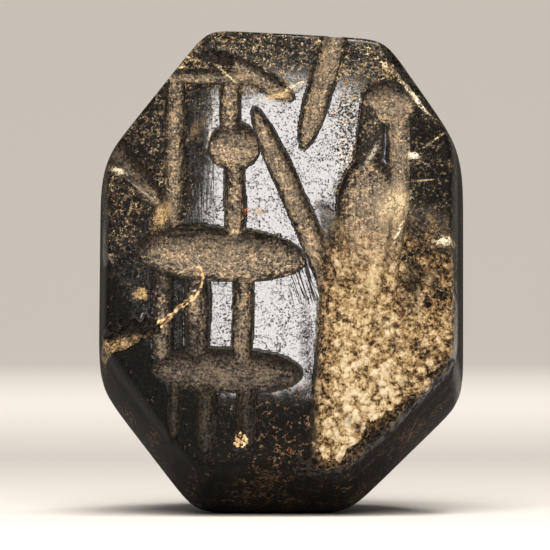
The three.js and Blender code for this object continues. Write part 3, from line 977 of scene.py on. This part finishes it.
own = bench.node("ShaderNodeMapping", {}, {
    "Vector": bench.node("ShaderNodeTexCoord", out="Object"),
    "Location": tuple(SHIFT), "Rotation": (-LEAN, 0, 0), "Scale": (1 / MM,) * 3})
u, v, w = bench.split(own)
cut, broken = read("cut"), read("broken")
along, beside, middle = bench.split(read("lane", "Vector"))
face = w.step(-2.9, -2.2)
fine = noise(bench, own, 9.0, 5.0, 0.68)
cloud = noise(bench, own, 0.55, 4.0, 0.62)
drift = cloud - 0.5
print("the stone is read in millimetres about", crown.round(2))

# %% [markdown]
# ### The black stone and its mottling
#
# The black is mottled with tan along the top, down the left and at the upper right, and a little
# along the bottom, while the window in the middle is clean. A painted mask could say where. Steps
# on u and v, pushed about by a cloud so that no border runs straight, do it without a map. Then
# stains, brown grains and pale grains are laid over the black, one over the other. The pale grains
# are partly real and partly painted glints: white specks that stand in for sparkle on the polish.

# %% Black stone
top = (v + drift * 4).step(5.8, 7.6)
left = (u + drift * 4).step(-3.2, -4.6) * (v + drift * 6).step(-4.5, 2.5)
right = (u + drift * 3).step(4.2, 5.2) * (v + drift * 3).step(-3.6, -1.2)
bare_side = cloud.step(0.42, 0.66) * 0.55
low = (v + (u + 4.6).math("MINIMUM", 0.0) * 1.8 + drift * 4).step(-6.0, -7.2)
mottled = (0.7 * top + 0.55 * left + 0.3 * right + 0.15 * low * u.step(-5.0, -2.0)).clip() * face
mottled = mottled + (1 - face) * bare_side
patch = noise(bench, own, 2.4, 4.0, 0.7)
soft = noise(bench, own, 5.0, 5.0, 0.75)
sharp = noise(bench, own, 19.0, 3.0, 0.6)
black = blend(fine.step(0.4, 0.65) * 0.8, BLACK, SOOT)
stain = (patch * 0.5 + soft * 0.5 + mottled * 0.1).step(0.5, 0.64) * mottled.step(0.02, 0.5)
colour = blend(stain * 0.75, black, blend(soft.step(0.45, 0.65), SOOT, UMBER))
grains = (fine * 0.45 + soft * 0.35 + cloud * 0.2 + mottled * 0.1).step(0.585, 0.64)
colour = blend(grains * 0.9, colour, blend(soft.step(0.45, 0.65), ROOT, TAN))
pale_threads = threads(own, 1.3, 0.009) * (patch + mottled * 0.1).step(0.52, 0.6) * mottled.step(0.1, 0.5)
# partly real pale grains and partly painted glints, white specks for sparkle on the black
pale_grains_and_glints = (fine * 0.4 + sharp * 0.3 + patch * 0.3 + mottled * 0.06).step(0.6, 0.64)
pale_marks_and_glints = (pale_threads * 0.8 + pale_grains_and_glints * (0.2 + mottled)).clip() * face
colour = blend(pale_marks_and_glints, colour, CREAM)
print("black stone:", len(stone.node_tree.nodes), "nodes so far")

# %% [markdown]
# ### The floors of the strokes
#
# The wheel left the floors dull and scored along their length. Pale dust has settled in them, more
# in the middle. Less of it is drawn on the walls up to the right, which face away from the light,
# and towards the bottom of the face, so that these floors look darker: that is painted shade. The
# scoring is a noise stretched along the lane of each stroke, which no map on the flat face could
# follow. The dust is two greys with tan and cream grains in them, kept only where the lane is deep.

# %% Strokes and dust
in_stroke = (cut + (soft - 0.5) * 0.07 * cut.step(0.0, 0.01)).step(0.0, 0.05)
score = noise(bench, bench.join(along * 0.8, beside * 9.0, along * 0.0), 1.0, 5.0, 0.7)
dust_and_shade = (middle + drift * 0.9 + (patch - 0.5) * 0.9 + (soft - 0.5) * 1.1 + (fine - 0.5) * 0.9).step(0.08, 0.6)
# painted shade: less dust, so darker floors, towards the bottom of the face, which turns away from the light
dust_and_shade = dust_and_shade * (0.08 + 0.92 * (v + drift * 3).step(-8.2, -2.8)) * (u + drift * 4).step(-8.5, -4.0)
# painted shade: less dust, so darker floors, on the groove walls up to the right that face away from the
# light
dust_and_shade = dust_and_shade * (1 - (read("shaded") + (patch - 0.5) * 0.8).step(0.1, 0.85) * 0.8)
warm = ((v + drift * 3).step(-4.6, -1.6) + u.step(1.0, 1.6)).clip() * 0.8 + 0.2
speckle = score * 0.25 + fine * 0.3 + soft * 0.25 + sharp * 0.2
dust = blend(speckle.step(0.455, 0.535), GROOVE, DUST)
dust = blend((patch * 0.4 + soft * 0.35 + fine * 0.25).step(0.51, 0.56) * warm * 0.6, dust, TAN)
dust = blend((soft * 0.35 + fine * 0.35 + sharp * 0.3).step(0.555, 0.6) * (0.15 + warm * 0.7), dust, CREAM)
floor = blend(dust_and_shade, blend(speckle.step(0.42, 0.6), BLACK, GROOVE), dust)
floor = blend(threads(own, 2.0, 0.011) * patch.step(0.5, 0.6) * dust_and_shade * 0.8, floor, CREAM)
colour = blend(in_stroke, colour, floor)
print("with the strokes:", len(stone.node_tree.nodes), "nodes")

# %% [markdown]
# ### The golden part
#
# Here the stone is soft crumbs, pale in the middle and brown between, with sand all through. One
# number, how light the stone is, is added up from crumbs, sand, grit and clouds, and a ramp turns it
# into a colour. That is easier to tune than a stack of blends, because each part only makes the
# stone lighter or darker. The zone stops just below the rim, where the black sides begin.

# %% Golden crumbs
GRITS_PER_MM = 9.0
crumb = crumbs(bench, own)
under_dome = w + (u * u + v * v) / (2 * CROWN_RADIUS) + cut
over_rim = (under_dome + drift * 1.2).step(-0.75, -0.3)
golden = (golden_zone(u, v, drift) * over_rim).clip()
sand = noise(bench, own, 6.0, 6.0, 0.85)
grit = shade_of_cells(own, GRITS_PER_MM)
light = crumb * (0.22 + 0.16 * v.step(-3.5, -7.0)) + sand * 1.6 - 0.29
light = light + (score - 0.5) * 0.3 + (sharp - 0.5) * 0.3
light = light + (grit - 0.5) * 0.24 - threads(own, 2.6, 0.02) * 0.14
pebble = shade_of_cells(shaken_place(bench, own), CRUMBS_PER_MM)
light = light + (pebble - 0.5) * 0.16 - (patch * 0.6 + cloud * 0.4).step(0.52, 0.6) * 0.14
light = light - (v + drift * 4).step(-5.0, 3.0) * 0.1 - (u + drift * 3).step(3.4, 6.6) * 0.1
light = (light - (u + drift * 1.2).step(2.7, 1.8) * 0.16 - 0.58) * 1.35 + 0.6
honey = bench.node("ShaderNodeValToRGB", {
    "stops": [(0.14, SOOT), (0.28, ROOT), (0.43, AMBER), (0.58, HONEY), (0.8, STRAW), (1.0, PALE)]},
    {"Fac": light})
bare = (noise(bench, own, 0.7, 5.0, 0.68) + v * 0.014).step(0.51, 0.6)
honey = blend(bare * 0.6, honey, blend(soft.step(0.4, 0.65), SOOT, ROOT))
honey = blend(threads(own, 1.0, 0.006) * patch.step(0.46, 0.54), honey, STRAW)
colour = blend(golden * 0.96, colour, honey)
print("with the golden part:", len(stone.node_tree.nodes), "nodes")

# %% [markdown]
# ### Broken places and single marks
#
# Where the rim broke, the stone is dark and crumbled. On the lower lip of the notch it is golden,
# partly the stone's own colour and partly painted light on the lip that faces up, while the dark
# wall above it stands for the notch's shadow as well. The break's depth, stored by the carving tree,
# says where that is. The single marks come last, so that a chip, a painted glint or a painted shadow
# shows over everything. A loop adds the same few nodes for each row of the list, and keeps count
# of how much is marked, because the polish is gone there.

# %% Breaks and marks
torn = broken.step(0.02, 0.12)
crumbled = blend(fine.step(0.45, 0.7), BLACK, UMBER)
crumbled = blend((soft * 0.7 + grit * 0.3).step(0.46, 0.62) * golden * 0.8, crumbled, AMBER)
colour = blend(torn, colour, crumbled)
# painted light: the lower lip of the notch, lit golden, partly the golden stone; the dark of the break above
# it also stands for the notch's shadow
notch_lit_lip = torn * u.step(-4.2, -4.8) * (v + drift * 0.8).step(-4.05, -4.4)
colour = blend(notch_lit_lip * (0.2 + patch.step(0.42, 0.6) * 0.8), colour,
               blend(fine.step(0.4, 0.6), ROOT, HONEY))

ragged = (patch - 0.5) * 2.4 + (soft - 0.5) * 4.6 + (fine - 0.5) * 4.0
broken_up = 0.25 + (soft * 0.5 + fine * 0.5).step(0.45, 0.52) * 0.75
with_gaps = 0.08 + (soft * 0.4 + fine * 0.6).step(0.46, 0.53) * 0.92
marked = 0.0
for where, (half_across, half_up), tilt, tint, strength in MARKS:
    cosine, sine = math.cos(math.radians(tilt)), math.sin(math.radians(tilt))
    du, dv = u - where[0], v - where[1]
    across = (du * cosine + dv * sine) / half_across
    up = (dv * cosine - du * sine) / half_up
    inside = ((across * across + up * up).root() + ragged).step(1.08, 0.94) * face * broken_up
    if min(half_across, half_up) < THIN_MARK:
        inside = inside * with_gaps
    colour = blend(inside * strength, colour, tint)
    marked = inside * strength + marked
print("with breaks and marks:", len(stone.node_tree.nodes), "nodes")

# %% [markdown]
# ### What the polish did not take
#
# The polished window is full of dark flecks and hair cracks, it is scratched at its left edge, and
# hatched below the arm. A silvery rough patch lies between the upper ray and the neck. These are
# thresholds on noises, some of them stretched so that they become hairs. They darken the colour a
# little, but their chief effect is on the shine, which is also worked out here: 1 is a mirror and 0
# is dull.

# %% Flecks, scratches and shine
rough_patch = (u + drift * 2).step(2.0, 3.0) * u.step(4.4, 4.0) * (v + drift * 2).step(1.2, 2.2)
rough_patch = rough_patch * v.step(7.4, 6.4)
flecks = (noise(bench, own, 10.0, 4.0, 0.7) + drift * 0.18 + rough_patch * 0.07).step(0.59, 0.63)
cracks = threads(own, 0.8, 0.006, 5.0) + threads(own, 1.7, 0.008) * patch.step(0.5, 0.6)
scratched = (u + drift * 1.2).step(-3.0, -3.4) * (v + drift * 2).step(1.6, 3.0)
hair = noise(bench, bench.join(u * 14.0, v * 0.8, w), 1.0, 3.0, 0.6).step(0.5, 0.56)
scratched = scratched + hair * (u + drift).step(-2.7, -3.3) * v.step(-0.5, 0.5)
hatch = noise(bench, bench.join((u + v * 0.35) * 9.0, v * 0.5, w), 1.0, 2.0).step(0.52, 0.58)
hatch = hatch * u.step(0.3, 0.8) * v.step(-0.8, -1.2) * v.step(-3.2, -2.6)
plain = (1 - in_stroke) * (1 - golden) * (1 - torn)
dark_marks = (flecks + cracks * 0.8 + scratched * (0.5 + soft.step(0.4, 0.6) * 0.5) + hatch).clip() * plain
colour = blend(dark_marks * (1 - mottled) * 0.8, colour,
               blend(soft.step(0.5, 0.62) * scratched.clip(), BLACK, GROOVE))
colour = blend(rough_patch * plain * (patch * 0.4 + fine * 0.6).step(0.52, 0.58) * 0.8, colour, TAN)
rust = threads(own, 1.5, 0.016) * (patch + drift * 0.5).step(0.48, 0.54) * low * u.step(-2.2, -0.6) * plain
colour = blend(rust * 0.8, colour, blend(fine.step(0.42, 0.58), RUST, TAN))
spoiled = dark_marks + pale_marks_and_glints + grains * 0.6 + stain * 0.3 + low
spoiled = (spoiled + (left + right + top * 0.4) * 0.85 + marked).clip()
off_window = ((u + drift * 2).step(-2.9, -3.5) + right + top).clip()
at_edge = read("near").step(0.0, 0.012) * off_window * (0.7 + (soft + patch).step(0.9, 1.0) * 0.3)
sparkle = (grit * 0.6 + fine * 0.4).step(0.6, 0.66)
shine = plain * (1 - spoiled * 0.94) * (1 - at_edge)
shine = shine + golden * (0.12 + sparkle * 0.6) + in_stroke * 0.08
shine = shine + torn * (1 - golden) * patch.step(0.44, 0.56) * 0.6
print("with flecks and shine:", len(stone.node_tree.nodes), "nodes")

# %% [markdown]
# ### The sides
#
# Nobody engraved or polished the sides for show. Fingers have rubbed them, so they shine most along
# the long edges, carry long rubbing marks from front to back, and are nicked where the stone was
# laid down. Dust has settled in the cord hole. The edge attribute of the carving tree finds the
# edges, and a noise squeezed across and stretched along w makes the rubbing marks.

# %% Rubbed sides
ridge, behind = read("ridge"), 1 - face
rubbed = noise(bench, bench.join(u * 3.5, v * 3.5, w * 0.35), 1.0, 6.0, 0.75)
nicks = (soft * 0.6 + patch * 0.4 + ridge * 0.06).step(0.605, 0.64) * behind
colour = blend(rubbed.step(0.48, 0.64) * (0.12 + w.step(-4.5, -9.0) * 0.33) * behind, colour, UMBER)
colour = blend(nicks * (0.3 + ridge * 0.6), colour, blend(fine.step(0.4, 0.6), GROOVE, TAN))
from_bore = (v * v + (w + HOLE_DEPTH) * (w + HOLE_DEPTH)).root()
in_bore = (from_bore + (soft - 0.5) * 0.5).step(HOLE_MOUTH + 0.12, HOLE_MOUTH - 0.15) * behind
colour = blend(in_bore * 0.8, colour, blend(soft.step(0.4, 0.62), GROOVE, DUST))
side_shine = 0.13 + ridge * 0.35 - rubbed * 0.25 - nicks - in_bore
dull = (1 - shine * (face + behind * side_shine.clip())).clip()
print("with the sides:", len(stone.node_tree.nodes), "nodes")

# %% [markdown]
# ### Relief and the two shaders
#
# Scores, sand and nicks too fine for the mesh are a bump, in millimetres of height. The stone
# could have one shader with a changing roughness, but polish and broken stone differ in more than
# that: the dull parts hardly mirror at all. So a polished and a matte shader share the colour and
# the bump, and the dullness mixes them.

# %% Relief, polish and matte
FLECK_RELIEF = 0.012
POLISH_ROUGHNESS, MATTE_ROUGHNESS, MATTE_MIRROR = 0.09, 0.6, 0.03
STONE_IOR = 1.55
relief = fine * 0.0012 + behind * (rubbed * 0.02 - nicks * 0.03) - dark_marks * FLECK_RELIEF
relief = relief + (pale_marks_and_glints + grains * 0.6) * FLECK_RELIEF + in_stroke * (score * 0.03 + soft * 0.06)
relief = relief + golden * (light * 0.1 + grit * 0.02) + torn * soft * 0.12
normal = bench.node("ShaderNodeBump", {}, {"Strength": 1.0, "Distance": MM, "Height": relief})
polished = bench.node("ShaderNodeBsdfPrincipled", {}, {
    "Base Color": colour, "Roughness": POLISH_ROUGHNESS, "IOR": STONE_IOR, "Normal": normal})
matte = bench.node("ShaderNodeBsdfPrincipled", {}, {
    "Base Color": colour, "Roughness": MATTE_ROUGHNESS, "IOR": STONE_IOR,
    "Specular IOR Level": MATTE_MIRROR, "Normal": normal})
shader = bench.node("ShaderNodeMixShader", {}, [dull, polished, matte])
bench.node("ShaderNodeOutputMaterial", {}, {"Surface": shader}, out=None)
print("stone material has", len(stone.node_tree.nodes), "nodes")

# %% [markdown]
# ## Carving the seal
#
# Both materials are there, so the tree can run. Its sizes are inputs with names, and the modifier
# wants each by its socket's identifier, which a small helper looks up. The result is made real at
# once, because the seal is handed in as a plain mesh. The seal then rides on the root
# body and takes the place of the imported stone.

# %% Running the tree
WANDER, GROOVE_ROUGHNESS, CRUMB_DEPTH = 0.19, 0.06, 0.07
VEIN_RADIUS, CRYSTAL_SIZE, CRYSTAL_COUNT, SEED = 0.09, 0.055, 75.0, 7


def run_tree(piece, tree, **values):
    modifier = piece.modifiers.new(tree.name, "NODES")
    modifier.node_group = tree
    known = {s.name: s.identifier for s in tree.interface.items_tree if s.in_out == "INPUT"}
    for name, value in values.items():
        modifier[known[name]] = value
    return finished(piece, piece.name)


carving = carving_tree()
run_tree(seal, carving, **{
    "Crown radius": CROWN_RADIUS, "Wander": WANDER, "Roughness": GROOVE_ROUGHNESS,
    "Crumb depth": CRUMB_DEPTH, "Vein path": vein,
    "Vein radius": VEIN_RADIUS, "Crystal size": CRYSTAL_SIZE, "Crystal count": CRYSTAL_COUNT, "Seed": SEED})
bpy.data.objects.remove(vein)
seal.data.polygons.foreach_set("use_smooth", [True] * len(seal.data.polygons))
triangles = sum(len(p.vertices) - 2 for p in seal.data.polygons)
print("carved seal has", triangles, "triangles")
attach(seal, "root")
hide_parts("seal_stone")

# %% [markdown]
# ## The stage
#
# A seal is photographed on a plain sweep of paper. A plane with one bent end would do from the
# front. The sweep here is a wide shallow bowl, so the ground is the same from every side, and its
# edge rises too far off to be mirrored as a line. It lies a hair below the stone, so that the two
# don't flicker where they touch.

# %% The sweep
SWEEP_FLAT, SWEEP_EDGE, SWEEP_HEIGHT = 0.7, 1.25, 0.55
SWEEP_TURNS, SWEEP_RISE_STEPS = 96, 13
HAIR_BELOW = 0.00002


def sweep():
    turns = SWEEP_TURNS
    profile = [(SWEEP_FLAT * s, 0.0) for s in (0.05, 0.3, 0.65, 1.0)]
    for step in np.linspace(0, math.pi / 2, SWEEP_RISE_STEPS + 1)[1:]:
        profile.append((SWEEP_FLAT + (SWEEP_EDGE - SWEEP_FLAT) * math.sin(step),
                        SWEEP_HEIGHT * (1 - math.cos(step))))
    points = [(0.0, 0.0, -HAIR_BELOW)]
    faces = []
    for radius, height in profile:
        points += [(radius * math.cos(t), radius * math.sin(t), height - HAIR_BELOW)
                   for t in np.linspace(0, 2 * math.pi, turns, endpoint=False)]
    faces += [[0, 1 + i, 1 + (i + 1) % turns] for i in range(turns)]
    for ring in range(len(profile) - 1):
        a, b = 1 + ring * turns, 1 + (ring + 1) * turns
        faces += [[a + i, b + i, b + (i + 1) % turns, a + (i + 1) % turns] for i in range(turns)]
    floor = new_mesh("sweep", points, faces)
    floor.data.polygons.foreach_set("use_smooth", [True] * len(floor.data.polygons))
    paper = bpy.data.materials.new("Pale paper")
    paper.use_nodes = True
    shader = paper.node_tree.nodes["Principled BSDF"]
    shader.inputs["Base Color"].default_value = tone(214, 210, 204)
    shader.inputs["Roughness"].default_value = 0.9
    shader.inputs["Specular IOR Level"].default_value = 0.0
    floor.data.materials.append(paper)
    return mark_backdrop(floor)


sweep()
print("sweep is", 2 * SWEEP_EDGE, "m across and rises", SWEEP_HEIGHT, "m")

# %% [markdown]
# ## The lamps
#
# The photograph has one large soft box above the camera, and the polish mirrors it as the bright
# window in the middle of the face. So its angle and size are set by where the window has to be. A
# small lamp high up on the right draws the edges, and a wide one behind lights only the
# paper. The world is a dim pale room, because the black stone would mirror any brighter one.

# %% Lamps
FACE_MIDDLE = Vector(crown * MM)
PAPER_LAMP_TILT = math.radians(80)


def lamp(name, azimuth, elevation, distance, width, height, power, colour=(1.0, 0.955, 0.91)):
    """A soft box aimed at the face. Azimuth 0 is over the camera, and 90 is to its right."""
    light = bpy.data.lights.new(name, "AREA")
    light.shape, light.size, light.size_y = "RECTANGLE", width, height
    light.energy, light.color = power, colour
    holder = bpy.data.objects.new(name, light)
    around, up = math.radians(azimuth), math.radians(elevation)
    out = Vector((math.sin(around) * math.cos(up), -math.cos(around) * math.cos(up), math.sin(up)))
    holder.location = FACE_MIDDLE + out * distance
    holder.rotation_euler = out.to_track_quat("Z", "Y").to_euler()
    holder.visible_camera = False
    bpy.context.scene.collection.objects.link(holder)
    return holder


# azimuth, elevation, distance, width, height, power
lamp("soft box", -1.0, 33.0, 0.36, 0.155, 0.375, 3.15)
lamp("top lamp", 38.0, 76.0, 0.5, 0.14, 0.14, 1.1)
lamp("paper lamp", 180.0, 65.0, 0.5, 0.5, 0.3, 5.0).rotation_euler = (PAPER_LAMP_TILT, 0, 0)
world = bpy.data.worlds.new("Pale room")
world.use_nodes = True
world.node_tree.nodes["Background"].inputs["Color"].default_value = (0.86, 0.88, 0.9, 1)
world.node_tree.nodes["Background"].inputs["Strength"].default_value = 0.16
bpy.context.scene.world = world
bpy.context.scene.view_settings.view_transform = "Standard"
print("lamps set")

# %% [markdown]
# ## The camera
#
# The photograph looks straight at the face through a long lens, so the sides show as thin bands.
# The camera could be moved by eye until it fits. Instead, three things read off the photograph set
# it: how many pixels a millimetre takes, which gives the lens, and the place of the face's crown in
# the picture, which gives the shift of the aim.

# %% The camera
PICTURE = 550
PIXELS_PER_MM = 23.0
CROWN_PIXEL = (279.0, 235.5)
CAMERA_DISTANCE, CAMERA_AZIMUTH, CAMERA_ELEVATION = 0.42, math.radians(1.1), 0.0

lens = bpy.data.cameras.new("camera")
lens.sensor_width = 36.0
lens.lens = lens.sensor_width * CAMERA_DISTANCE / (PICTURE / PIXELS_PER_MM * MM)
lens.clip_start, lens.clip_end = 0.01, 10.0
camera = bpy.data.objects.new("camera", lens)
out = Vector((math.sin(CAMERA_AZIMUTH) * math.cos(CAMERA_ELEVATION),
              -math.cos(CAMERA_AZIMUTH) * math.cos(CAMERA_ELEVATION), math.sin(CAMERA_ELEVATION)))
camera.rotation_euler = out.to_track_quat("Z", "Y").to_euler()
right, up = Vector((math.cos(CAMERA_AZIMUTH), math.sin(CAMERA_AZIMUTH), 0)), Vector((0, 0, 1))
aim = FACE_MIDDLE - right * ((CROWN_PIXEL[0] - PICTURE / 2) / PIXELS_PER_MM * MM) \
    + up * ((CROWN_PIXEL[1] - PICTURE / 2) / PIXELS_PER_MM * MM)
camera.location = aim + out * CAMERA_DISTANCE
bpy.context.scene.collection.objects.link(camera)
bpy.context.scene.camera = camera
print("lens", round(lens.lens), "mm")
